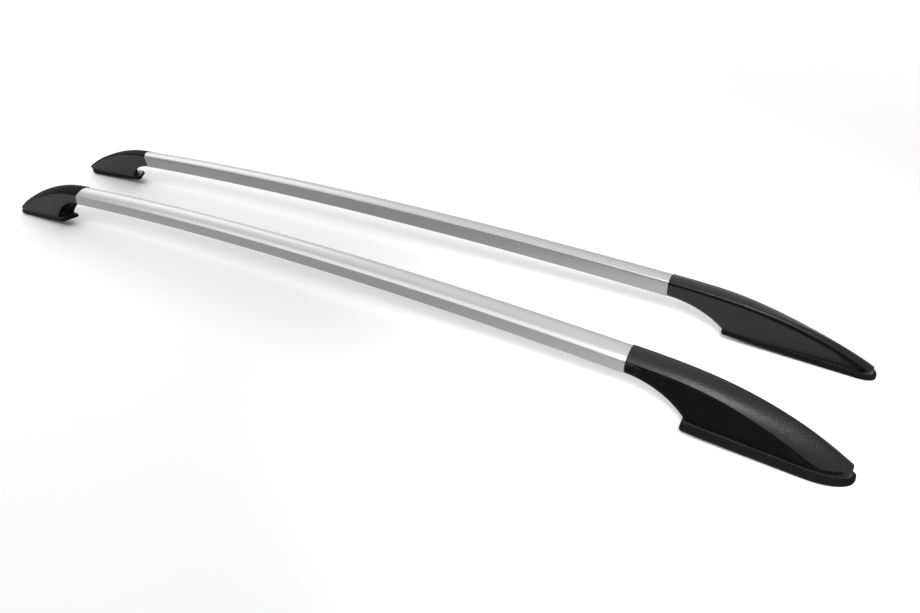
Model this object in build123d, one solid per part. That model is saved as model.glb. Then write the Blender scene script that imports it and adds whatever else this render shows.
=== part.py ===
from build123d import *
import os
from math import asin, cos, degrees, radians, sin, tan
from types import SimpleNamespace

# Roof side rails, a left-hand and a right-hand one, standing on their feet on a level surface.
# X runs forward along the rails, Y to the left and Z up. Sizes are in millimetres.

# The pair
RAIL_LENGTH = 1779.0  # from the tail of the rear gasket to the nose of the front one
RAIL_SPACING = 203.0  # between the middles of the two rails, at the floor
LEAN = 8.0  # fall of the roof's edge that the feet are cut to, so the rails lean in on a level floor

# The bar, an extrusion bent to a shallow arch
BAR_WIDTH = 30.0
EDGE_HEIGHT = 31.0  # top of the round along the inboard edge
CREASE_HEIGHT = 19.8  # top of the low outboard side
INBOARD_ROUND = 3.0  # radius of the inboard edge
SHOULDER_ANGLE = -15.0  # fall of the top where it leaves the inboard round; it first rises a little
BAR_WALL = 2.2
BAR_RADIUS = 9600.0  # bend radius of the bar's underside
ARCH_HEIGHT = 92.2  # underside of the bar at the top of its arch
ARCH_PLACE = 857.0  # from the tail to the top of the arch
SEAM_GAP = 0.4  # between the end of the bar and a cover

# Covers
COVER_WALL = 2.4
CAP_LIP = 1.6  # underside of the cap below its outboard edge
CAP_TUCK = 3.0  # edge of the cap below the inboard round
LEG_INSET = 1.2  # step from the bar's side to the leg at the seam
RIM_WIDTH = 4.0  # rebate along the open edge of the leg
RIM_DEPTH = 0.7
POST_RADIUS = 4.5
RIB_THICKNESS = 2.0
RIB_CLEAR = 18.0  # from the bracket's plate up to the ribs

# Gaskets and pads, measured square to the base
GASKET_THICKNESS = 7.0
GASKET_EDGE = 3.0  # upright edge at the foot of the skirt
GASKET_PROUD = 1.2  # how far the gasket's top stands out from the leg
PAD_THICKNESS = 2.0
PAD_INSET = 1.5
PAD_SETBACK = 26.0  # from the gasket's inner end to the pad's
END_CORNER = 6.0  # corner radius at the inner ends

# Brackets
PLATE_THICKNESS = 6.0
WEB_THICKNESS = 3.5
WEB_REACH = 10.0  # from the middle to the outer face of a web
WEB_SETBACK = 9.0  # behind the open edge of the leg
TONGUE_HEIGHT = 12.0
TONGUE_IN_BAR = 70.0
TONGUE_IN_CAP = 42.0
BOSS_RADIUS = 7.2
BOSS_HEIGHT = 13.0
CLEARANCE = 0.3

# Fasteners
BUSH_RADIUS = 4.5
BUSH_BORE = 2.5  # tapping radius of an M6 thread
BUSH_COLLAR = 6.0
COLLAR_THICKNESS = 1.2
BOLT_ACCESS = 8.0  # radius of the holes through gasket and pad
COVER_SCREW_RADIUS = 2.0
COVER_SCREW_LENGTH = 16.0
COVER_SCREW_HEAD = 3.8
COVER_HEAD_HEIGHT = 2.6
HEAD_RECESS = 0.5  # plate's underside to the screw head, which keeps it off the gasket
BAR_SCREW_RADIUS = 2.4
BAR_SCREW_LENGTH = 12.0
BAR_SCREW_HEAD = 4.6
BAR_HEAD_HEIGHT = 3.0
BAR_SCREW_COUNT = 2  # at each end of the bar
BAR_SCREW_FIRST = 20.0  # from the seam to the first screw, along the bar
BAR_SCREW_PITCH = 32.0
DRIVE_RADIUS = 1.6
DRIVE_DEPTH = 1.4

# Feet
FRONT_CAP = 295.0  # tip to seam
FRONT_BASE = 212.0  # tip to the gasket's inner end
REAR_CAP = 270.0
REAR_BASE = 195.0

# The two feet. Distances along a foot start at the outer tip of its gasket and run in along the rail.
FRONT = SimpleNamespace(
    name="front",
    cap_length=FRONT_CAP,
    base_length=FRONT_BASE,
    to_top=RAIL_LENGTH - ARCH_PLACE,  # tip to the top of the arch
    rise=4.4,  # slope of the base along the rail, in degrees
    rake=0.0,  # slope in plan of the leg's open edge and of the base's inner end
    seam_tilt=0.0,  # how far the seam runs inwards as it rises
    seam_slant=0.0,  # how far the seam runs out again towards outboard
    cap_setback=5.5,  # gasket's tip to the cap's tip
    leg_setback=15.0,  # gasket's tip to the leg's tip
    base_margin=5.0,  # the gasket's inner end beyond the leg
    tip_crown=18.0,  # height of the cap at the gasket's tip
    tip_slope=0.705,
    crease_drop=30.0,  # crown to crease at the tip
    roll_length=230.0,  # length over which the cap rolls outboard towards the tip
    tip_angle=40.0,  # shoulder angle at the tip
    tip_round=8.0,  # radius of the inboard edge at the tip
    tip_offset=-5.0,  # tip of the plan from the middle, outboard positive
    tip_flat=5.0,
    sweep_outboard=54.0,
    sweep_inboard=22.0,
    nose_inset=4.0,  # step from the cap to the leg on the inboard side, at the nose
    taper_end=170.0,  # where that step has come down to the leg's own
    lip_gap=7.0,  # gasket to the cap's lip
    skirt_outboard=9.5,  # how far the gasket flares out below its top
    skirt_inboard=2.0,
    posts=(62.0, 108.0),
    bushes=(84.0, 172.0),
    web_foot=128.0,
)
REAR = SimpleNamespace(
    name="rear",
    cap_length=REAR_CAP,
    base_length=REAR_BASE,
    to_top=ARCH_PLACE,
    rise=4.7,
    rake=-0.7,
    seam_tilt=0.35,
    seam_slant=0.35,
    cap_setback=4.0,
    leg_setback=8.0,
    base_margin=22.0,
    tip_crown=18.5,
    tip_slope=0.54,
    crease_drop=12.0,
    roll_length=230.0,
    tip_angle=30.0,
    tip_round=8.0,
    tip_offset=-1.0,
    tip_flat=12.0,
    sweep_outboard=22.0,
    sweep_inboard=26.0,
    nose_inset=1.8,
    taper_end=126.0,
    lip_gap=1.0,
    skirt_outboard=2.0,
    skirt_inboard=0.5,
    posts=(36.0, 88.0),
    bushes=(62.0, 132.0),
    web_foot=104.0,
)

HALF = BAR_WIDTH / 2
BASE_STACK = PAD_THICKNESS + GASKET_THICKNESS
CAVITY_HALF = HALF - LEG_INSET - COVER_WALL
TONGUE_HALF = min(HALF - BAR_WALL, CAVITY_HALF) - CLEARANCE
TONGUE_FLOOR = max(BAR_WALL, COVER_WALL) + CLEARANCE
REACH = ARCH_HEIGHT + 2 * BAR_WIDTH  # larger than any section, for cutting blocks
DEEP = -REACH  # below every base
SPARE = BAR_WIDTH  # how far forms run past a seam before it cuts them
TRIM = 2.0  # spare width that the plan cuts off
CREASE_SINK = 1.5  # wall under the steep outboard edge, against that under the crown
STATIONS = (0.0, 0.17, 0.34, 0.5, 0.67, 0.84)  # sections of the cap, as shares of its length
BEND_SAG = BAR_SCREW_HEAD**2 / BAR_RADIUS  # keeps a flat head clear of the bent underside
LEAN_IN = Rot(X=LEAN)


def ease(share):
    share = min(max(share, 0.0), 1.0)
    return share * share * (3 - 2 * share)


def top_of(crown, crease, angle, edge_round):
    """Height of the top face across a section, from the inboard round to the crease."""
    start = edge_round * (1 + sin(angle)) - HALF
    height = crown - edge_round * (1 - cos(angle))
    run = HALF - start
    bow = (height - crease - run * tan(angle)) / run**2
    return lambda u: height - (u - start) * tan(angle) - bow * (u - start) ** 2


def section(plane, top, angle, edge_round, outboard, inboard, low_outboard, low_inboard):
    """Closed section: outboard side, sloping top, inboard round, inboard side and underside."""
    shoulder = edge_round * (1 + sin(angle)) - inboard
    centre = (edge_round - inboard, top(shoulder) - edge_round * cos(angle))
    middle = radians(45) + angle / 2
    crease = (outboard, top(outboard))
    bend = (shoulder, top(shoulder))
    half_way = (shoulder + outboard) / 2
    on_round = (centre[0] - edge_round * cos(middle), centre[1] + edge_round * sin(middle))
    side = (-inboard, centre[1])
    foot_in = (-inboard, low_inboard(centre[1]))
    foot_out = (outboard, low_outboard(crease[1]))
    outline = Curve() + [
        Line(foot_out, crease),
        ThreePointArc(crease, (half_way, top(half_way)), bend),
        ThreePointArc(bend, on_round, side),
        Line(side, foot_in),
        Line(foot_in, foot_out),
    ]
    return plane * make_face(outline)


def bar_section(plane, inset):
    angle = radians(SHOULDER_ANGLE)
    edge_round = INBOARD_ROUND - inset
    top = top_of(EDGE_HEIGHT, CREASE_HEIGHT, angle, INBOARD_ROUND)
    return section(
        plane,
        lambda u: top(u) - inset,
        angle,
        edge_round,
        HALF - inset,
        HALF - inset,
        lambda z: inset,
        lambda z: inset,
    )


def seam_angle(foot):
    """Slope of the bar at a seam."""
    return asin((foot.to_top - foot.cap_length) / BAR_RADIUS)


def seam_height(foot):
    return ARCH_HEIGHT - BAR_RADIUS * (1 - cos(seam_angle(foot)))


def seam_plane(foot, along=0.0):
    """Plane square to the bar at a distance along it from the seam, in the foot's upright frame."""
    turn = seam_angle(foot) - along / BAR_RADIUS
    rise = BAR_RADIUS * (1 - cos(turn))
    origin = (foot.to_top - BAR_RADIUS * sin(turn), 0, ARCH_HEIGHT - rise)
    return Plane(origin, x_dir=(0, 1, 0), z_dir=(cos(turn), 0, sin(turn)))


def seam_block(foot, gap=0.0):
    """Everything on the foot's side of its seam, which may be tilted and slanted."""
    plane = seam_plane(foot, gap)
    facing = plane.z_dir + plane.x_dir * foot.seam_slant - plane.y_dir * foot.seam_tilt
    block = Pos(Z=-RAIL_LENGTH / 4) * Box(RAIL_LENGTH, RAIL_LENGTH, RAIL_LENGTH / 2)
    return Plane(plane.origin, z_dir=facing).location * block


def arch_axis(foot):
    return Axis((foot.to_top, 0, ARCH_HEIGHT - BAR_RADIUS), (0, 1, 0))


def upright_plane(along):
    return Plane((along, 0, 0), x_dir=(0, 1, 0), z_dir=(1, 0, 0))


def crown_at(foot, along):
    """Height of the cap's inboard edge, a cubic from the tip to the end of the bar."""
    angle = seam_angle(foot)
    run = foot.cap_length - EDGE_HEIGHT * sin(angle)
    end = seam_height(foot) + EDGE_HEIGHT * cos(angle)
    k = along / run
    from_tip = foot.tip_crown * (1 + 2 * k) * (1 - k) ** 2 + foot.tip_slope * run * k * (1 - k) ** 2
    from_seam = end * k * k * (3 - 2 * k) - tan(angle) * run * k * k * (1 - k)
    return from_tip + from_seam


def roll_at(foot, along):
    return ease(1 - along / foot.roll_length)


def cap_top(foot, along, sink=0.0):
    """Top face of the cap at a station, sunk by a wall where it is the inner face."""
    roll = roll_at(foot, along)
    angle = radians(SHOULDER_ANGLE + (foot.tip_angle - SHOULDER_ANGLE) * roll)
    edge_round = INBOARD_ROUND + (foot.tip_round - INBOARD_ROUND) * roll
    bar_drop = EDGE_HEIGHT - CREASE_HEIGHT
    drop = bar_drop + (foot.crease_drop - bar_drop) * roll
    crown = crown_at(foot, along)
    top = top_of(crown - sink, crown - drop - sink * CREASE_SINK, angle, edge_round)
    return top, angle, edge_round


def lofted(places, outboard, low_outboard, low_inboard):
    """Loft through the sections at a list of planes, each with its top, shoulder angle and round."""
    sections = [
        section(plane, top, angle, edge_round, outboard, HALF, low_outboard, low_inboard)
        for plane, top, angle, edge_round in places
    ]
    return loft(sections)


def seam_top(sink):
    angle = radians(SHOULDER_ANGLE)
    top = top_of(EDGE_HEIGHT - sink, CREASE_HEIGHT - sink * CREASE_SINK, angle, INBOARD_ROUND)
    return top, angle, INBOARD_ROUND


def cap_places(foot, sink):
    """Stations from the tip's plane in to the seam and a little past it."""
    places = [(upright_plane(foot.cap_length * share), *cap_top(foot, foot.cap_length * share, sink))
              for share in STATIONS]
    places.append((seam_plane(foot), *seam_top(sink)))
    places.append((seam_plane(foot, SPARE), *seam_top(sink)))
    return places


def cap_form(foot):
    """The cap: the bar's section carried on, rolled outboard and cut to a plan with a swept tip."""
    plan = teardrop(
        foot, foot.cap_setback, foot.cap_length + REACH, HALF, HALF + TRIM, HALF + TRIM, 0.0, 0.0
    )
    form = lofted(cap_places(foot, 0.0), HALF + TRIM, lambda z: z - CAP_LIP, lambda z: z - CAP_TUCK)
    return form & column(plan)


def under_cap(foot, sink):
    """Everything below the cap's top, sunk by a wall."""
    return lofted(cap_places(foot, sink), HALF, lambda z: DEEP, lambda z: DEEP)


def teardrop(foot, tip, back, outboard, inboard_nose, inboard_back, rake, corner):
    """Plan outline of a foot: a swept tip, an inboard side that widens, and a slanted inner end."""
    flat = foot.tip_flat / 2
    peak_out = foot.tip_offset + flat
    peak_in = foot.tip_offset - flat
    reach_out = foot.sweep_outboard
    reach_in = foot.sweep_inboard
    start_out = (tip + reach_out, outboard)
    start_in = (tip + reach_in, -inboard_nose)
    end_out = (back + rake * outboard, outboard)
    end_in = (back - rake * inboard_back, -inboard_back)
    outline = Curve() + [
        EllipticalCenterArc((start_out[0], peak_out), reach_out, outboard - peak_out, 90, arc_size=90),
        Line((tip, peak_out), (tip, peak_in)),
        EllipticalCenterArc((start_in[0], peak_in), reach_in, inboard_nose + peak_in, 180, arc_size=90),
        Line(start_in, (foot.taper_end, -inboard_back)),
        Line((foot.taper_end, -inboard_back), end_in),
        Line(end_in, end_out),
        Line(end_out, start_out),
    ]
    face = make_face(outline)
    if corner:
        face = fillet(face.vertices().sort_by(Axis.X)[-2:], corner)
    return face


def leg_plan(foot, inset, back, rake=0.0, corner=0.0):
    """Plan of the leg, or of what fits inside it, inset from the leg's outer face."""
    tip = foot.leg_setback + inset
    outboard = HALF - LEG_INSET - inset
    inboard_nose = HALF - foot.nose_inset - inset
    return teardrop(foot, tip, back, outboard, inboard_nose, outboard, rake, corner)


def column(outline):
    return Pos(Z=DEEP) * extrude(outline, REACH * 3)


def base_frame(foot, height=0.0):
    """Frame of the base, which rises from the tip inwards."""
    return Rot(Y=-foot.rise) * Pos(Z=height)


def above(foot, height):
    block = Pos(Z=REACH * 2) * Box(RAIL_LENGTH, REACH * 4, REACH * 4)
    return base_frame(foot, height) * block


def slab(foot, low, high):
    block = Pos(Z=(high - low) / 2) * Box(RAIL_LENGTH, REACH * 4, high - low)
    return base_frame(foot, low) * block


def leg_end(foot):
    return foot.base_length - foot.base_margin


def side_profile(foot, setback=0.0, lift=0.0):
    """Side view of a leg: everything outboard of the arched open edge, as a wide block."""
    angle = seam_angle(foot)
    seam = (foot.cap_length, seam_height(foot) + lift)
    toe = (leg_end(foot) - setback, base_height(foot, leg_end(foot), BASE_STACK))
    beyond = (seam[0] + SPARE, seam[1] + SPARE * tan(angle))
    outline = Curve() + [
        TangentArc(seam, toe, tangent=(-cos(angle), -sin(angle))),
        Line(toe, (toe[0], DEEP)),
        Line((toe[0], DEEP), (DEEP, DEEP)),
        Line((DEEP, DEEP), (DEEP, REACH)),
        Line((DEEP, REACH), (beyond[0], REACH)),
        Line((beyond[0], REACH), beyond),
        Line(beyond, seam),
    ]
    return extrude(Plane.XZ * make_face(outline), REACH, dir=(foot.rake, 1, 0), both=True)


def base_height(foot, along, height):
    """Height over the floor of a level square to the base, at a distance along the foot."""
    return (height + along * sin(radians(foot.rise))) / cos(radians(foot.rise))


def middle_at(height):
    """Middle of the leaning leg at a height over the floor."""
    return -height * tan(radians(LEAN))


def rod(foot, along, start, radius, length):
    """Upright cylinder that starts at a height over the bracket's underside."""
    floor = base_height(foot, along, BASE_STACK)
    return Pos(along, middle_at(BASE_STACK), floor + start + length / 2) * Cylinder(radius, length)


def bore(foot, along, radius, length):
    """Hole from below that ends at a height over the bracket's underside."""
    return rod(foot, along, -REACH, radius, REACH + length)


def make_cover(foot):
    gasket_top = above(foot, BASE_STACK)
    leg = under_cap(foot, COVER_WALL / 2) & column(leg_plan(foot, 0.0, foot.cap_length + REACH))
    leg = leg & side_profile(foot)
    rim = side_profile(foot) - side_profile(foot, setback=RIM_WIDTH, lift=RIM_WIDTH)
    rim = rim - column(leg_plan(foot, RIM_DEPTH, foot.cap_length + REACH))
    leg = leg - rim
    cap = cap_form(foot)
    cavity_plan = column(leg_plan(foot, COVER_WALL, foot.cap_length + REACH))
    cavity = under_cap(foot, COVER_WALL) & cavity_plan
    cap = LEAN_IN * cap & above(foot, BASE_STACK + foot.lip_gap)
    shell = (cap + (LEAN_IN * leg & gasket_top)) & LEAN_IN * seam_block(foot)
    cover = shell - LEAN_IN * cavity
    filling = LEAN_IN * (under_cap(foot, COVER_WALL / 2) & cavity_plan)
    rib_zone = above(foot, BASE_STACK + PLATE_THICKNESS + RIB_CLEAR)
    for along in foot.posts:
        post = rod(foot, along, 0, POST_RADIUS, REACH) & above(foot, BASE_STACK + PLATE_THICKNESS)
        rib = Pos(along, 0, 0) * Box(RIB_THICKNESS, REACH * 2, REACH * 4) & rib_zone
        cover = cover + ((post + rib) & filling)
    for along in foot.posts:
        cover = cover - cover_screw_shank(foot, along)
    return cover


def cover_screw_shank(foot, along):
    length = COVER_HEAD_HEIGHT + COVER_SCREW_LENGTH
    return rod(foot, along, HEAD_RECESS, COVER_SCREW_RADIUS, length)


def make_cover_screws(foot):
    screws = []
    for along in foot.posts:
        head = rod(foot, along, HEAD_RECESS, COVER_SCREW_HEAD, COVER_HEAD_HEIGHT)
        drive = rod(foot, along, HEAD_RECESS, DRIVE_RADIUS, DRIVE_DEPTH)
        screws.append(head + cover_screw_shank(foot, along) - drive)
    return screws


def make_bushes(foot):
    bushes = []
    for along in foot.bushes:
        collar = rod(foot, along, 0, BUSH_COLLAR, COLLAR_THICKNESS)
        barrel = rod(foot, along, 0, BUSH_RADIUS, BOSS_HEIGHT)
        thread = rod(foot, along, 0, BUSH_BORE, BOSS_HEIGHT)
        bushes.append(collar + barrel - thread)
    return bushes


def make_tongue(foot):
    height = TONGUE_FLOOR + TONGUE_HEIGHT / 2
    outline = Pos(0, height) * Rectangle(2 * TONGUE_HALF, TONGUE_HEIGHT)
    run = (TONGUE_IN_BAR + TONGUE_IN_CAP) / BAR_RADIUS
    face = seam_plane(foot, -TONGUE_IN_CAP) * outline
    return revolve(face, arch_axis(foot), degrees(run))


def make_bracket(foot):
    inner = COVER_WALL + CLEARANCE
    back = leg_end(foot) - WEB_SETBACK
    plate = LEAN_IN * column(leg_plan(foot, inner, back, foot.rake, END_CORNER))
    plate = plate & LEAN_IN * under_cap(foot, inner)
    plate = plate & slab(foot, BASE_STACK, BASE_STACK + PLATE_THICKNESS)
    tongue_top = seam_height(foot) + TONGUE_FLOOR + TONGUE_HEIGHT - CLEARANCE
    cap_end = foot.cap_length - TONGUE_IN_CAP
    web_side = make_face(
        Polyline(
            (foot.web_foot, DEEP),
            (foot.web_foot, BASE_STACK + PLATE_THICKNESS),
            (cap_end, tongue_top - TONGUE_IN_CAP * tan(seam_angle(foot))),
            (foot.cap_length, tongue_top),
            (foot.cap_length, DEEP),
            close=True,
        )
    )
    web_side = extrude(Plane.XZ * web_side, REACH, both=True)
    web_side = web_side & side_profile(foot, WEB_SETBACK, TONGUE_FLOOR + CLEARANCE)
    strip = Pos(foot.cap_length / 2, WEB_REACH - WEB_THICKNESS / 2, 0)
    strip = strip * Box(foot.cap_length * 2, WEB_THICKNESS, REACH * 3)
    webs = web_side & (strip + mirror(strip, Plane.XZ))
    webs = LEAN_IN * webs & above(foot, BASE_STACK)
    bracket = plate + webs + LEAN_IN * make_tongue(foot)
    for along in foot.bushes:
        boss = bore(foot, along, BOSS_RADIUS, BOSS_HEIGHT) & above(foot, BASE_STACK)
        bracket = bracket + boss
    for along in foot.bushes:
        bracket = bracket - bore(foot, along, BUSH_COLLAR, COLLAR_THICKNESS)
        bracket = bracket - bore(foot, along, BUSH_RADIUS, BOSS_HEIGHT)
    for along in foot.posts:
        bracket = bracket - bore(foot, along, COVER_SCREW_HEAD, HEAD_RECESS + COVER_HEAD_HEIGHT)
        bracket = bracket - cover_screw_shank(foot, along)
    for screw in bar_screw_places(foot):
        bracket = bracket - LEAN_IN * screw * bar_screw_shank()
    return bracket


def base_outline(foot, tip, back, out, inn):
    """Outline of the gasket or pad around the leg, out and inn beyond its sides."""
    lift = middle_at(BASE_STACK)
    outboard = HALF - LEG_INSET + out
    face = teardrop(foot, tip, back, outboard, HALF + inn, HALF + inn, foot.rake, END_CORNER)
    return Pos(Y=lift) * face


def make_gasket(foot):
    back = foot.base_length
    top_tip = foot.cap_setback
    out = GASKET_PROUD + foot.skirt_outboard
    foot_face = base_outline(foot, 0, back, out, GASKET_PROUD + foot.skirt_inboard)
    crown_face = base_outline(foot, top_tip, back, GASKET_PROUD, GASKET_PROUD)
    edge = extrude(foot_face, GASKET_EDGE)
    skirt = loft([Pos(Z=GASKET_EDGE) * foot_face, Pos(Z=GASKET_THICKNESS) * crown_face], ruled=True)
    gasket = base_frame(foot, PAD_THICKNESS) * (edge + skirt)
    for along in foot.bushes:
        gasket = gasket - bore(foot, along, BOLT_ACCESS, BOSS_HEIGHT)
    return gasket


def make_pad(foot):
    out = GASKET_PROUD + foot.skirt_outboard - PAD_INSET
    inn = GASKET_PROUD + foot.skirt_inboard - PAD_INSET
    face = base_outline(foot, PAD_INSET, foot.base_length - PAD_SETBACK, out, inn)
    pad = base_frame(foot) * extrude(face, PAD_THICKNESS)
    for along in foot.bushes:
        pad = pad - bore(foot, along, BOLT_ACCESS, BOSS_HEIGHT)
    return pad


def bar_screw_places(foot):
    """Places on the bar's underside, with the screw pointing up into the tongue."""
    places = []
    for number in range(BAR_SCREW_COUNT):
        plane = seam_plane(foot, BAR_SCREW_FIRST + number * BAR_SCREW_PITCH)
        places.append(Plane(plane.origin, x_dir=(0, 1, 0), z_dir=plane.y_dir).location)
    return places


def bar_screw_shank():
    length = BAR_SCREW_LENGTH + BAR_HEAD_HEIGHT / 2
    return Pos(Z=BAR_SCREW_LENGTH - length / 2) * Cylinder(BAR_SCREW_RADIUS, length)


def make_bar_screws(foot):
    screws = []
    for place in bar_screw_places(foot):
        head = Pos(Z=-BAR_HEAD_HEIGHT / 2 - BEND_SAG) * Cylinder(BAR_SCREW_HEAD, BAR_HEAD_HEIGHT)
        drive = Pos(Z=DRIVE_DEPTH / 2 - BAR_HEAD_HEIGHT - BEND_SAG) * Cylinder(DRIVE_RADIUS, DRIVE_DEPTH)
        screws.append(LEAN_IN * place * (head + bar_screw_shank() - drive))
    return screws


def make_bar():
    """The bar in the rear foot's frame: a hollow section turned about the centre of its arch."""
    plane = seam_plane(REAR, -SPARE)
    face = bar_section(plane, 0.0) - bar_section(plane, BAR_WALL)
    turn = seam_angle(REAR) + seam_angle(FRONT) + 2 * SPARE / BAR_RADIUS
    bar = revolve(face, arch_axis(REAR), degrees(turn))
    for foot in (FRONT, REAR):
        bar = bar - in_rail(foot, seam_block(foot, SEAM_GAP))
    return LEAN_IN * bar


def in_rail(foot, piece):
    """From a foot's own frame to the rail's: the front foot faces the other way."""
    if foot is REAR:
        return piece
    return Pos(X=RAIL_LENGTH) * mirror(piece, Plane.YZ)


def build_rail():
    """All the pieces of the left-hand rail, by name."""
    bar = make_bar()
    pieces = {}
    for foot in (FRONT, REAR):
        made = {
            "cover": [make_cover(foot)],
            "bracket": [make_bracket(foot)],
            "gasket": [make_gasket(foot)],
            "pad": [make_pad(foot)],
            "cover_screws": make_cover_screws(foot),
            "bushes": make_bushes(foot),
            "bar_screws": make_bar_screws(foot),
        }
        for name, solids in made.items():
            pieces[f"{foot.name}_{name}"] = [in_rail(foot, solid) for solid in solids]
        for place in bar_screw_places(foot):
            bar = bar - in_rail(foot, LEAN_IN * place * bar_screw_shank())
    pieces["bar"] = [bar]
    return pieces


def main():
    os.makedirs("parts", exist_ok=True)
    rail = build_rail()
    boxes = [solid.bounding_box() for solids in rail.values() for solid in solids]
    tail = min(box.min.X for box in boxes)
    nose = max(box.max.X for box in boxes)
    floor = min(box.min.Z for box in boxes)
    centre = Pos(X=-(tail + nose) / 2, Y=RAIL_SPACING / 2, Z=-floor)
    for name, solids in rail.items():
        left = [centre * solid for solid in solids]
        right = [mirror(solid, Plane.XZ) for solid in left]
        for hand, pair in (("left", left), ("right", right)):
            shape = pair[0] if len(pair) == 1 else Compound(children=pair)
            export_step(shape, f"parts/{hand}_{name}.step")


main()
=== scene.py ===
from math import asin, cos, pi, radians, sin, tan

import bmesh
import bpy
from mathutils import Matrix, Vector


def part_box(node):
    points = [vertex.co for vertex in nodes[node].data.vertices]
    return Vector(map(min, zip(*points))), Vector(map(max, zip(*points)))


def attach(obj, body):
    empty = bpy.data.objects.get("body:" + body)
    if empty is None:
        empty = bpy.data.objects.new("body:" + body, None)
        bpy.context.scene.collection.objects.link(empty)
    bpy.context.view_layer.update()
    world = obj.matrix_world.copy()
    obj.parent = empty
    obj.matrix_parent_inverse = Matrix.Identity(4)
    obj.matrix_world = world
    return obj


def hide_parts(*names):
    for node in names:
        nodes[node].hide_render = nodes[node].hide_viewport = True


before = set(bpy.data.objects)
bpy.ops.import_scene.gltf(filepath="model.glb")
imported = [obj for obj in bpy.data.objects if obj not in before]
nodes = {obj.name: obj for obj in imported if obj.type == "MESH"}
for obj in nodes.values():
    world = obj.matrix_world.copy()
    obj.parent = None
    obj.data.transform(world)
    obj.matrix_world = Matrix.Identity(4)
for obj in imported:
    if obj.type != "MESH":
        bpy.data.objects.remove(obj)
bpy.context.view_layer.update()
scene = bpy.context.scene
mm = 0.001
hands = ("left", "right")
feet = ("front", "rear")
railLean = radians(8)  # both rails lean in
print("frame loaded,", len(nodes), "nodes")


# Node trees

def plug(tree, slot, value):
    if isinstance(value, Wire):
        tree.links.new(value.socket, slot)
    else:
        slot.default_value = value


class Wire:  # a node's output that Python operators work on
    def __init__(self, tree, socket):
        self.tree = tree
        self.socket = socket

    def maths(self, operation, first, second):
        node = self.tree.nodes.new("ShaderNodeMath")
        node.operation = operation
        plug(self.tree, node.inputs[0], first)
        plug(self.tree, node.inputs[1], second)
        return Wire(self.tree, node.outputs[0])

    def __add__(self, other):
        return self.maths("ADD", self, other)

    __radd__ = __add__

    def __mul__(self, other):
        return self.maths("MULTIPLY", self, other)

    __rmul__ = __mul__

    def __sub__(self, other):
        return self.maths("SUBTRACT", self, other)

    def __rsub__(self, other):
        return self.maths("SUBTRACT", other, self)

    def __truediv__(self, other):
        return self.maths("DIVIDE", self, other)


class Board:  # a node tree, filled by one general method
    def __init__(self, tree):
        self.tree = tree

    def node(self, kind, settings=None, sockets=None, out=0):
        made = self.tree.nodes.new(kind)
        for name, value in (settings or {}).items():
            setattr(made, name, value)
        for name, value in (sockets or {}).items():
            plug(self.tree, made.inputs[name], value)
        return Wire(self.tree, made.outputs[out])


# Finishes

def newFinish(name, constants):
    material = bpy.data.materials.new(name)
    material.use_nodes = True
    board = Board(material.node_tree)
    shader = material.node_tree.nodes["Principled BSDF"]
    for socket, value in constants.items():
        shader.inputs[socket].default_value = value
    return material, board, shader


def grey(value):
    return (value, value, value, 1)


def onPiece(board):  # the piece's own coordinates, in metres
    return board.node("ShaderNodeTexCoord", out="Object")


def noise(board, place, scale, detail):
    return board.node("ShaderNodeTexNoise", {}, {"Vector": place, "Scale": scale, "Detail": detail})


def swing(pattern):  # a noise pattern about zero
    return pattern - 0.5


def nearGrey(board, tone, blue):
    return board.node("ShaderNodeCombineColor", {}, {"Red": tone, "Green": tone, "Blue": tone * blue})


def relief(board, height, depth, reach, under=None):
    sockets = {"Height": height, "Strength": depth, "Distance": reach}
    return board.node("ShaderNodeBump", {}, sockets | (under or {}))


def setVarying(board, shader, varying):
    for socket, value in varying.items():
        plug(board.tree, shader.inputs[socket], value)


satinLook = {
    "colour": 0.28,
    "blue": 1.01,
    "roughness": 0.3,
    "lines": 2600,  # drawing lines per metre across the section
    "lineStretch": 6,  # changes per metre along the bar
    "lineDetail": 3.0,
    "lineDepth": 0.05,
    "lineReach": 0.02 * mm,
    "clouds": 9.0,  # soft patches per metre
    "cloudDetail": 2.0,
    "plainTone": 0.93,  # shares of the colour
    "lineTone": 0.10,
    "cloudTone": 0.04,
    "lineRough": 0.10,
    "cloudRough": 0.04,
}


def satinBar():
    look = satinLook
    material, board, shader = newFinish("satinAnodised", {"Metallic": 1.0})
    flow = board.node("ShaderNodeAttribute", {"attribute_name": "flow"}, out="Vector")
    scale = (look["lineStretch"], look["lines"], look["lines"])
    lines = board.node("ShaderNodeMapping", {}, {"Vector": flow, "Scale": scale})
    drawn = noise(board, lines, 1.0, look["lineDetail"])
    cloud = noise(board, flow, look["clouds"], look["cloudDetail"])
    tone = look["colour"] * (look["plainTone"] + look["lineTone"] * drawn + look["cloudTone"] * cloud)
    rough = look["roughness"] + look["lineRough"] * swing(drawn) + look["cloudRough"] * swing(cloud)
    setVarying(board, shader, {
        "Base Color": nearGrey(board, tone, look["blue"]),
        "Roughness": rough,
        "Normal": relief(board, drawn, look["lineDepth"], look["lineReach"]),
    })
    return material


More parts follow.
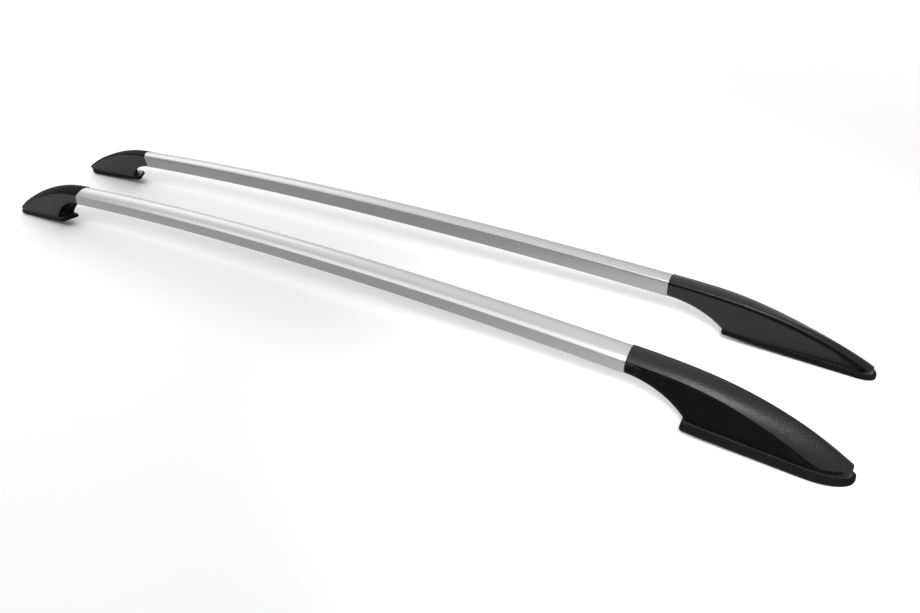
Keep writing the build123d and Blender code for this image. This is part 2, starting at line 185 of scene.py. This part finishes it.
mouldedLook = {
    "blue": 1.03,
    "paintedTopFrom": (0.2, 0.42),  # upward part of the normal, from side to top, over which the painted top sheen comes in
    "paintedTuckShadeFrom": (0.4 * mm, 0.8 * mm),  # depth behind the cap's inboard edge, from cap to leg, over which the painted dark band under the cap gives way
    "grainDetail": 2.0,
    "pitShare": 0.8,  # pits for each grain, along a line
    "grainRise": 0.6,
    "pitRise": 0.5,
    "grainReach": 0.4 * mm,
    "clouds": 22.0,
    "cloudDetail": 3.0,
    "plainTone": 0.75,
    "grainTone": 0.3,
    "cloudTone": 0.2,
    "grainRough": 0.4,
    "cloudRough": 0.08,
    "softenSamples": 6,
}
# front covers: grain, and a painted sheen with shiny tops and dull sides
frontGrain = mouldedLook | {
    "colour": 0.003,
    "roughness": 0.37,
    "paintedTopShine": 0.2,  # painted highlight: specular level of the faces that look up, far above the sides'
    "paintedSideShine": 0.015,
    "paintedInboardShare": 0.8,  # painted sheen: the leg's leaning inboard side has part of the top's shine
    "grain": 640,  # grains per metre
    "grainDepth": 0.6,
    "soften": 0.5 * mm,  # radius by which the light softens a moulded edge
}
# rear covers: grain, and a painted shade the other way round, with dull tops and shinier sides
rearGrain = mouldedLook | {
    "colour": 0.005,
    "roughness": 0.52,
    "paintedTopShine": 0.012,
    "paintedSideShine": 0.2,
    "paintedInboardShare": 0.0,
    "grain": 1000,
    "grainDepth": 0.3,
    "soften": 0.9 * mm,
}
paintedInboardFrom = (0.1, -0.1)  # for the painted inboard sheen: upward part of the normal, from a side that looks up to one that looks down


def paintedSheenByFacing(board, shader, look, facing, varying, leg=1.0):  # painted light: tops and sides of one plastic differ in shine by the way they face
    # painted sheen: satin is the lit copy and matt the shaded copy of one plastic
    sheen = {"Specular IOR Level": look["paintedTopShine"]}
    satin = board.node("ShaderNodeBsdfPrincipled", {}, sheen | varying)
    setVarying(board, shader, varying)
    height = board.node("ShaderNodeSeparateXYZ", {}, {"Vector": facing}, out="Z")
    upward, inboard = (
        board.node("ShaderNodeMapRange", {}, {"Value": height, "From Min": low, "From Max": high})
        for low, high in (look["paintedTopFrom"], paintedInboardFrom)
    )
    matt = Wire(board.tree, shader.outputs[0])
    # painted light mask: tops, and the set-back leg's inboard side, take the lit copy
    share = upward + look["paintedInboardShare"] * leg * inboard
    blend = board.node("ShaderNodeMixShader", {}, {0: share, 1: matt, 2: satin})
    plug(board.tree, board.tree.nodes["Material Output"].inputs["Surface"], blend)


def paintedTuckShadeMask(board, place, depths):  # painted shade: 0 on the cap's inboard edge, which keeps the dull side shine as a dark band, 1 on the leg that is set back under it
    outboard = Vector((0, cos(railLean), sin(railLean)))
    edge = min(outboard.dot(vertex.co) for vertex in nodes["left_front_cover"].data.vertices)
    folded = board.node("ShaderNodeVectorMath", {"operation": "ABSOLUTE"}, {0: place})  # both rails alike
    reach = board.node(
        "ShaderNodeVectorMath", {"operation": "DOT_PRODUCT"}, {0: folded, 1: outboard}, out="Value"
    )
    low, high = depths
    return board.node(
        "ShaderNodeMapRange", {}, {"Value": reach, "From Min": edge + low, "From Max": edge + high}
    )


def grainBlack(name, look):
    material, board, shader = newFinish(name, {"Specular IOR Level": look["paintedSideShine"]})
    place = onPiece(board)
    grain = noise(board, place, look["grain"], look["grainDetail"])
    pitScale = look["grain"] * look["pitShare"]
    pits = board.node("ShaderNodeTexVoronoi", {}, {"Vector": place, "Scale": pitScale})
    cloud = noise(board, place, look["clouds"], look["cloudDetail"])
    tone = look["colour"] * (look["plainTone"] + look["grainTone"] * grain + look["cloudTone"] * cloud)
    rough = look["roughness"] + look["grainRough"] * swing(grain) + look["cloudRough"] * swing(cloud)
    edge = board.node("ShaderNodeBevel", {"samples": look["softenSamples"]}, {"Radius": look["soften"]})
    height = grain * look["grainRise"] + pits * look["pitRise"]
    varying = {
        "Base Color": nearGrey(board, tone, look["blue"]),
        "Roughness": rough,
        "Normal": relief(board, height, look["grainDepth"], look["grainReach"], {"Normal": edge}),
    }
    paintedSheenByFacing(board, shader, look, edge, varying, paintedTuckShadeMask(board, place, look["paintedTuckShadeFrom"]))
    return material


softLook = {
    "blue": 1.0,
    "paintedInboardShare": 0.0,
    "poreDetail": 3.0,
    "poreReach": 0.3 * mm,
    "clouds": 30.0,
    "cloudDetail": 2.0,
    "plainTone": 0.7,
    "poreTone": 0.35,
    "cloudTone": 0.25,
    "cloudRough": 0.2,
}
# the gasket's shine carries a painted highlight along its ledge
rubberLook = softLook | {
    "colour": 0.005,
    "roughness": 0.45,
    "paintedTopShine": 0.8,
    "paintedSideShine": 0.02,
    "paintedTopFrom": (0.95, 0.985),  # painted highlight: only the level ledge shines, not the skirt
    "pores": 900,
    "poreDepth": 0.12,
}
foamLook = softLook | {
    "colour": 0.005,
    "roughness": 0.85,
    "paintedTopShine": 0.08,
    "paintedSideShine": 0.08,
    "paintedTopFrom": (0.2, 0.42),
    "pores": 700,
    "poreDepth": 0.5,
}


def blackRubber(name, look):
    material, board, shader = newFinish(name, {"Specular IOR Level": look["paintedSideShine"]})
    place = onPiece(board)
    pores = noise(board, place, look["pores"], look["poreDetail"])
    cloud = noise(board, place, look["clouds"], look["cloudDetail"])
    tone = look["colour"] * (look["plainTone"] + look["poreTone"] * pores + look["cloudTone"] * cloud)
    varying = {
        "Base Color": nearGrey(board, tone, look["blue"]),
        "Roughness": look["roughness"] + look["cloudRough"] * swing(cloud),
        "Normal": relief(board, pores, look["poreDepth"], look["poreReach"]),
    }
    facing = board.node("ShaderNodeNewGeometry", out="Normal")
    paintedSheenByFacing(board, shader, look, facing, varying)
    return material


coatLook = {
    "colour": 0.012,
    "blue": 1.04,
    "roughness": 0.5,
    "shine": 0.3,
    "sand": 500,  # grains of the casting mould per metre
    "sandDetail": 3.0,
    "sandDepth": 0.35,
    "sandReach": 0.3 * mm,
    "plainTone": 0.7,
    "sandTone": 0.6,
    "sandRough": 0.2,
}


def coatedCasting():
    look = coatLook
    material, board, shader = newFinish("blackCoatedCasting", {"Specular IOR Level": look["shine"]})
    sand = noise(board, onPiece(board), look["sand"], look["sandDetail"])
    tone = look["colour"] * (look["plainTone"] + look["sandTone"] * sand)
    setVarying(board, shader, {
        "Base Color": nearGrey(board, tone, look["blue"]),
        "Roughness": look["roughness"] + look["sandRough"] * swing(sand),
        "Normal": relief(board, sand, look["sandDepth"], look["sandReach"]),
    })
    return material


zincLook = {
    "colour": 0.5,
    "blue": 1.03,
    "roughness": 0.32,
    "spangle": 350,  # crystals per metre
    "spangleDetail": 2.0,
    "plainTone": 0.85,
    "spangleTone": 0.3,
    "spangleRough": 0.15,
}


def zincSteel():
    look = zincLook
    material, board, shader = newFinish("zincPlatedSteel", {"Metallic": 1.0})
    spangle = noise(board, onPiece(board), look["spangle"], look["spangleDetail"])
    tone = look["colour"] * (look["plainTone"] + look["spangleTone"] * spangle)
    setVarying(board, shader, {
        "Base Color": nearGrey(board, tone, look["blue"]),
        "Roughness": look["roughness"] + look["spangleRough"] * swing(spangle),
    })
    return material


finishes = {
    "bar": satinBar(),
    "frontCover": grainBlack("frontGrainedBlackPaintedSheen", frontGrain),
    "rearCover": grainBlack("rearGrainedBlackPaintedSheen", rearGrain),
    "gasket": blackRubber("gasketRubberPaintedLedge", rubberLook),
    "pad": blackRubber("padFoam", foamLook),
    "bracket": coatedCasting(),
    "steel": zincSteel(),
}
print("finishes made")


# Shapes

def newObject(name, data):
    made = bpy.data.objects.new(name, data)
    scene.collection.objects.link(made)
    return made


def settled(made, name):  # the evaluated shape as a plain mesh, with no modifier left
    graph = bpy.context.evaluated_depsgraph_get()
    mesh = bpy.data.meshes.new_from_object(made.evaluated_get(graph), depsgraph=graph)
    mesh.name = name
    made.modifiers.clear()
    made.data = mesh
    return made


def setInputs(modifier, values):
    identifiers = {item.name: item.identifier for item in modifier.node_group.interface.items_tree
                   if item.in_out == "INPUT"}
    for name, value in values.items():
        modifier[identifiers[name]] = value


def newTree(name, inputs):
    tree = bpy.data.node_groups.new(name, "GeometryNodeTree")
    tree.interface.new_socket("Geometry", in_out="INPUT", socket_type="NodeSocketGeometry")
    for label, kind in inputs.items():
        tree.interface.new_socket(label, in_out="INPUT", socket_type="NodeSocket" + kind)
    tree.interface.new_socket("Geometry", in_out="OUTPUT", socket_type="NodeSocketGeometry")
    board = Board(tree)
    entry = tree.nodes.new("NodeGroupInput")
    values = {socket.name: Wire(tree, socket) for socket in entry.outputs if socket.name}
    return board, values


def closeTree(board, geometry, material):
    realized = board.node("GeometryNodeRealizeInstances", {}, {"Geometry": geometry})
    dressed = board.node("GeometryNodeSetMaterial", {}, {"Geometry": realized, "Material": material})
    end = board.tree.nodes.new("NodeGroupOutput")
    plug(board.tree, end.inputs[0], dressed)


# The bars: one section carried along an arc

barSizes = {
    "width": 30.0 * mm,
    "edgeHeight": 31.0 * mm,  # top of the inboard round
    "creaseHeight": 19.8 * mm,
    "inboardRound": 5.0 * mm,
    "shoulderAngle": radians(-15),  # fall of the top at the round; it first rises a little
    "creaseRound": 0.7 * mm,
    "footRound": 1.0 * mm,
    "bendRadius": 9.6,
    "rearReach": 0.857 - 0.270,  # tail to the top of the arch, less the rear cap
    "frontReach": 0.922 - 0.295,  # nose to the top of the arch, less the front cap
    "rearTilt": 0.35,  # how far the rear seam runs forward as it rises
    "rearSlant": 0.35,  # and how far it runs back towards outboard
    "seamGap": 0.4 * mm,
    "steps": 120,  # along the bar
    "topSteps": 12,
    "roundSteps": 9,
    "cornerSteps": 4,
    "sharpFrom": radians(40),
}


def rounded(before, corner, after, radius):  # a corner as a short arc
    steps = barSizes["cornerSteps"]
    inward = (before - corner).normalized()
    outward = (after - corner).normalized()
    half = inward.angle(outward) / 2
    middle = corner + (inward + outward).normalized() * (radius / sin(half))
    start = corner + inward * (radius / tan(half)) - middle
    end = corner + outward * (radius / tan(half)) - middle
    return [middle + radius * start.slerp(end, step / steps).normalized() for step in range(steps + 1)]


def barOutline():  # points with x up the section and y outboard
    size = barSizes
    half = size["width"] / 2
    angle = size["shoulderAngle"]
    edge = size["inboardRound"]
    shoulder = edge * (1 + sin(angle)) - half
    level = size["edgeHeight"] - edge * (1 - cos(angle))
    run = half - shoulder
    bow = (level - size["creaseHeight"] - run * tan(angle)) / run**2

    def topAt(across):
        return level - (across - shoulder) * tan(angle) - bow * (across - shoulder) ** 2

    topSteps, roundSteps = size["topSteps"], size["roundSteps"]
    slope = [half - run * step / topSteps for step in range(topSteps + 1)]
    top = [Vector((topAt(across), across)) for across in slope]
    footOut = Vector((0, half))
    footIn = Vector((0, -half))
    sideTop = Vector((size["edgeHeight"] - edge, -half))
    turns = [angle + (pi / 2 - angle) * step / roundSteps for step in range(1, roundSteps + 1)]
    roundMiddle = Vector((size["edgeHeight"] - edge, edge - half))
    inboard = [roundMiddle + edge * Vector((cos(turn), -sin(turn))) for turn in turns]
    points = rounded(footIn, footOut, top[0], size["footRound"])
    points += rounded(footOut, top[0], top[1], size["creaseRound"])
    points += top[1:] + inboard
    points += rounded(sideTop, footIn, footOut, size["footRound"])
    return points


def sectionCurve():
    points = barOutline()
    curve = bpy.data.curves.new("barSection", "CURVE")
    curve.dimensions = "3D"
    spline = curve.splines.new("POLY")
    spline.points.add(len(points) - 1)
    for place, point in zip(spline.points, points):
        place.co = (point.x, point.y, 0, 1)
    spline.use_cyclic_u = True
    return newObject("barSection", curve)


def sweepTree():
    inputs = {
        "Section": "Object",
        "Bend Radius": "Float",
        "Front Angle": "Float",
        "Rear Angle": "Float",
        "Rear Tilt": "Float",
        "Rear Slant": "Float",
        "Lean": "Float",
        "Steps": "Int",
        "Material": "Material",
    }
    board, values = newTree("barSweep", inputs)
    radius = values["Bend Radius"]
    sweep = values["Front Angle"] + values["Rear Angle"]
    start = pi / 2 - values["Front Angle"]
    path = board.node(
        "GeometryNodeCurveArc",
        {"mode": "RADIUS"},
        {"Resolution": values["Steps"], "Radius": radius, "Start Angle": start, "Sweep Angle": sweep},
    )
    section = board.node("GeometryNodeObjectInfo", {}, {"Object": values["Section"]}, out="Geometry")
    bar = board.node(
        "GeometryNodeCurveToMesh", {}, {"Curve": path, "Profile Curve": section, "Fill Caps": True}
    )
    position = board.node("GeometryNodeInputPosition")
    split = board.tree.nodes.new("ShaderNodeSeparateXYZ")
    plug(board.tree, split.inputs[0], position)
    along, up, across = (Wire(board.tree, socket) for socket in split.outputs)
    turn = up.maths("ARCTAN2", up, along)
    flat = board.node("ShaderNodeCombineXYZ", {}, {"X": along, "Y": up, "Z": 0.0})
    height = board.node("ShaderNodeVectorMath", {"operation": "LENGTH"}, {0: flat}, out="Value") - radius
    flow = board.node("ShaderNodeCombineXYZ", {}, {"X": turn * radius, "Y": across, "Z": height})
    marked = board.node(
        "GeometryNodeStoreNamedAttribute",
        {"data_type": "FLOAT_VECTOR", "domain": "POINT"},
        {"Geometry": bar, "Name": "flow", "Value": flow},
    )
    share = (turn - start) / sweep  # 0 at the front end, 1 at the rear end
    forward = 0 - (values["Rear Tilt"] * height + values["Rear Slant"] * across) * share / radius
    tilted = board.node(
        "ShaderNodeVectorRotate", {"rotation_type": "Z_AXIS"}, {"Vector": position, "Angle": forward}
    )
    cut = board.node("GeometryNodeSetPosition", {}, {"Geometry": marked, "Position": tilted})
    upright = board.node(
        "ShaderNodeCombineXYZ", {}, {"X": pi / 2 + values["Lean"], "Y": 0.0, "Z": 0.0}
    )
    stood = board.node("GeometryNodeTransform", {}, {"Geometry": cut, "Rotation": upright})
    closeTree(board, stood, values["Material"])
    return board.tree


def cornerShift(made, node):  # from a shape in the rail's own frame to where its node is
    low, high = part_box(node)
    corners = [vertex.co for vertex in made.data.vertices]
    return Matrix.Translation((
        low.x - min(corner.x for corner in corners),
        high.y - max(corner.y for corner in corners),
        high.z - max(corner.z for corner in corners),
    ))


def mirrored(made, name):  # the right-hand copy of a left-hand shape
    mesh = made.data.copy()
    mesh.name = name
    mesh.transform(Matrix.Diagonal((1, -1, 1, 1)))
    mesh.flip_normals()
    return newObject(name, mesh)


def weightNormals(made, name, angle):  # smooth faces, with the large ones kept flat
    made.data.shade_smooth()
    made.data.set_sharp_from_angle(angle=angle)
    weighted = made.modifiers.new("weightedNormals", "WEIGHTED_NORMAL")
    weighted.keep_sharp = True
    return settled(made, name)


def buildBars():
    size = barSizes
    section = sectionCurve()
    bar = newObject("leftBar", bpy.data.meshes.new("leftBar"))
    sweep = bar.modifiers.new("barSweep", "NODES")
    sweep.node_group = sweepTree()
    gap = size["seamGap"] / size["bendRadius"]
    setInputs(sweep, {
        "Section": section,
        "Bend Radius": size["bendRadius"],
        "Front Angle": asin(size["frontReach"] / size["bendRadius"]) - gap,
        "Rear Angle": asin(size["rearReach"] / size["bendRadius"]) - gap,
        "Rear Tilt": size["rearTilt"],
        "Rear Slant": size["rearSlant"],
        "Lean": railLean,
        "Steps": size["steps"],
        "Material": finishes["bar"],
    })
    settled(bar, "leftBar")
    bpy.data.objects.remove(section)
    bar.data.transform(cornerShift(bar, "left_bar"))
    weightNormals(bar, "leftBar", size["sharpFrom"])
    other = mirrored(bar, "rightBar")
    for made, hand in ((bar, "left"), (other, "right")):
        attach(made, "root")
        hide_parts(f"{hand}_bar")
    print("bars swept,", len(bar.data.polygons), "faces each")


buildBars()


# Moulded and rubber pieces: the CAD shapes with their triangles joined and their faces smoothed

softEdges = {
    "cover": {"angle": radians(20), "slot": "cover_plastic", "label": "Cover", "bevel": 0.0},
    "gasket": {"angle": radians(28), "slot": "gasket_rubber", "label": "Gasket", "bevel": 0.7 * mm},
    "pad": {"angle": radians(28), "slot": "pad_rubber", "label": "Pad", "bevel": 0.4 * mm},
}
edgeRounding = {
    "joinWithin": 0.002 * mm,
    "flatWithin": radians(0.6),  # triangles as flat as this become one face
    "foldFrom": radians(20),  # sharper folds get a round
    "segments": 3,
}


def joinedCopy(node, name):
    mesh = nodes[node].data.copy()
    mesh.name = name
    near = edgeRounding["joinWithin"]
    work = bmesh.new()
    work.from_mesh(mesh)
    bmesh.ops.remove_doubles(work, verts=work.verts, dist=near)
    bmesh.ops.dissolve_degenerate(work, edges=work.edges, dist=near)
    work.to_mesh(mesh)
    work.free()
    for layer in list(mesh.uv_layers):
        mesh.uv_layers.remove(layer)
    return newObject(name, mesh)


def roundEdges(made, name, width):  # a real rounding along the fold lines
    flat = made.modifiers.new("flatFaces", "DECIMATE")
    flat.decimate_type = "DISSOLVE"
    flat.angle_limit = edgeRounding["flatWithin"]
    bevel = made.modifiers.new("roundEdges", "BEVEL")
    bevel.width = width
    bevel.segments = edgeRounding["segments"]
    bevel.limit_method = "ANGLE"
    bevel.angle_limit = edgeRounding["foldFrom"]
    return settled(made, name)


def buildSmooth(kind):
    settings = softEdges[kind]
    for hand in hands:
        for foot in feet:
            node = f"{hand}_{foot}_{kind}"
            name = hand + foot.capitalize() + settings["label"]
            made = joinedCopy(node, name)
            made.data.materials.clear()
            made.data.materials.append(finishes.get(kind) or finishes[foot + "Cover"])
            if settings["bevel"]:
                roundEdges(made, name, settings["bevel"])
            weightNormals(made, name, settings["angle"])
            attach(made, "root")
            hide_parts(node)
    print(kind, "pieces smoothed")


for kind in softEdges:
    buildSmooth(kind)


# Inner pieces keep their CAD shapes

innerFinishes = {"bracket": "bracket", "cover_screws": "steel", "bushes": "steel", "bar_screws": "steel"}


def dressInner():
    for hand in hands:
        for foot in feet:
            for kind, finish in innerFinishes.items():
                mesh = nodes[f"{hand}_{foot}_{kind}"].data
                mesh.materials.clear()
                mesh.materials.append(finishes[finish])
    print("inner pieces dressed")


dressInner()


# Floor, light and camera

stageLook = {
    "floor": 0.9,
    "floorRoughness": 0.9,
    "skyLight": 0.28,
    "size": 30.0,
    "squeeze": (0.6, 1.0, 1.0),  # the fade to white is longer along the rails
    "fadeFrom": 0.55,
    "fadeTo": 1.4,
}


def whiteRays(board):  # 1 for the rays that show the background
    path = board.tree.nodes.new("ShaderNodeLightPath")
    rays = ("Is Camera Ray", "Is Glossy Ray", "Is Transmission Ray")
    seen, shine, through = (Wire(board.tree, path.outputs[ray]) for ray in rays)
    return seen.maths("MAXIMUM", seen.maths("MAXIMUM", seen, shine), through)


def buildFloor():
    look = stageLook
    mesh = bpy.data.meshes.new("floor")
    reach = look["size"]
    corners = [(-reach, -reach, 0), (reach, -reach, 0), (reach, reach, 0), (-reach, reach, 0)]
    mesh.from_pydata(corners, [], [(0, 1, 2, 3)])
    floor = newObject("floor", mesh)
    material, board, shader = newFinish("paleFloor", {
        "Base Color": grey(look["floor"]),
        "Roughness": look["floorRoughness"],
        "Specular IOR Level": 0.0,
    })
    squeeze = {0: onPiece(board), 1: look["squeeze"]}
    oval = board.node("ShaderNodeVectorMath", {"operation": "MULTIPLY"}, squeeze)
    away = board.node("ShaderNodeVectorMath", {"operation": "LENGTH"}, {0: oval}, out="Value")
    fade = board.node(
        "ShaderNodeMapRange",
        {"interpolation_type": "SMOOTHSTEP"},
        {"Value": away, "From Min": look["fadeFrom"], "From Max": look["fadeTo"]},
    )
    white = board.node("ShaderNodeEmission", {}, {"Color": grey(1), "Strength": 1.0})
    lit = Wire(board.tree, shader.outputs[0])
    blend = board.node("ShaderNodeMixShader", {}, {0: fade * whiteRays(board), 1: lit, 2: white})
    plug(board.tree, board.tree.nodes["Material Output"].inputs["Surface"], blend)
    mesh.materials.append(material)


def buildSky():
    world = bpy.data.worlds.new("studio")
    scene.world = world
    world.use_nodes = True
    board = Board(world.node_tree)
    back = world.node_tree.nodes["Background"]
    strength = stageLook["skyLight"] + (1 - stageLook["skyLight"]) * whiteRays(board)
    back.inputs["Color"].default_value = grey(1)
    plug(board.tree, back.inputs["Strength"], strength)


lamps = {
    "topPanel": {"place": (-2.3, 1.2, 2.4), "aim": (-2.3, 1.2, 0.0), "size": (8.0, 3.6), "power": 104.0},
    "topStrip": {"place": (-0.9, -1.3, 2.2), "aim": (-0.9, 0.0, 0.05), "size": (6.5, 0.65), "power": 40.0},
    "backPanel": {"place": (-1.5, 3.4, 1.3), "aim": (-1.0, 0.1, 0.05), "size": (6.5, 1.8), "power": 28.0},
    "rearPanel": {"place": (-4.2, 1.9, 2.6), "aim": (-0.4, 0.0, 0.08), "size": (3.5, 2.6), "power": 34.0},
    "frontKey": {
        "place": (1.2, -1.14, 1.55),
        "aim": (0.83, -0.12, 0.06),
        "size": (0.9, 0.55),
        "power": 2.4,
        "along": (0.75, -0.3, -0.55),  # direction of the long side
        "spread": radians(28),
    },
}


def buildLamps():
    for name, lamp in lamps.items():
        light = bpy.data.lights.new(name, "AREA")
        light.shape = "RECTANGLE"
        light.size, light.size_y = lamp["size"]
        light.energy = lamp["power"]
        light.spread = lamp.get("spread", pi)
        made = newObject(name, light)
        aim = Vector(lamp["aim"]) - Vector(lamp["place"])
        forward = -aim.normalized()
        side = Vector(lamp.get("along", (1, 0, 0)))
        side = (side - forward * side.dot(forward)).normalized()
        up = forward.cross(side)
        turned = Matrix((side, up, forward)).transposed().to_4x4()
        made.matrix_world = Matrix.Translation(lamp["place"]) @ turned


view = {
    "azimuth": radians(35.948),
    "elevation": radians(39.397),
    "roll": radians(-8.252),
    "distance": 1.19199,
    "target": (0.26502, -0.00094, 0.0),
    "focalPixels": 690.58,
    "imageWidth": 920,
    "sensor": 36.0,
    "clipEnd": 100.0,
}


def buildCamera():
    azimuth, elevation, roll = view["azimuth"], view["elevation"], view["roll"]
    back = Vector((sin(azimuth) * cos(elevation), -cos(azimuth) * cos(elevation), sin(elevation)))
    level = Vector((cos(azimuth), sin(azimuth), 0))
    upright = back.cross(level)
    right = cos(roll) * level + sin(roll) * upright
    up = cos(roll) * upright - sin(roll) * level
    camera = bpy.data.cameras.new("photoView")
    camera.sensor_width = view["sensor"]
    camera.lens = view["focalPixels"] * view["sensor"] / view["imageWidth"]
    camera.clip_end = view["clipEnd"]
    made = newObject("photoView", camera)
    place = Vector(view["target"]) + back * view["distance"]
    made.matrix_world = Matrix.Translation(place) @ Matrix((right, up, back)).transposed().to_4x4()
    scene.camera = made


buildFloor()
buildSky()
buildLamps()
buildCamera()
scene.view_settings.view_transform = "Standard"
print("stage set")
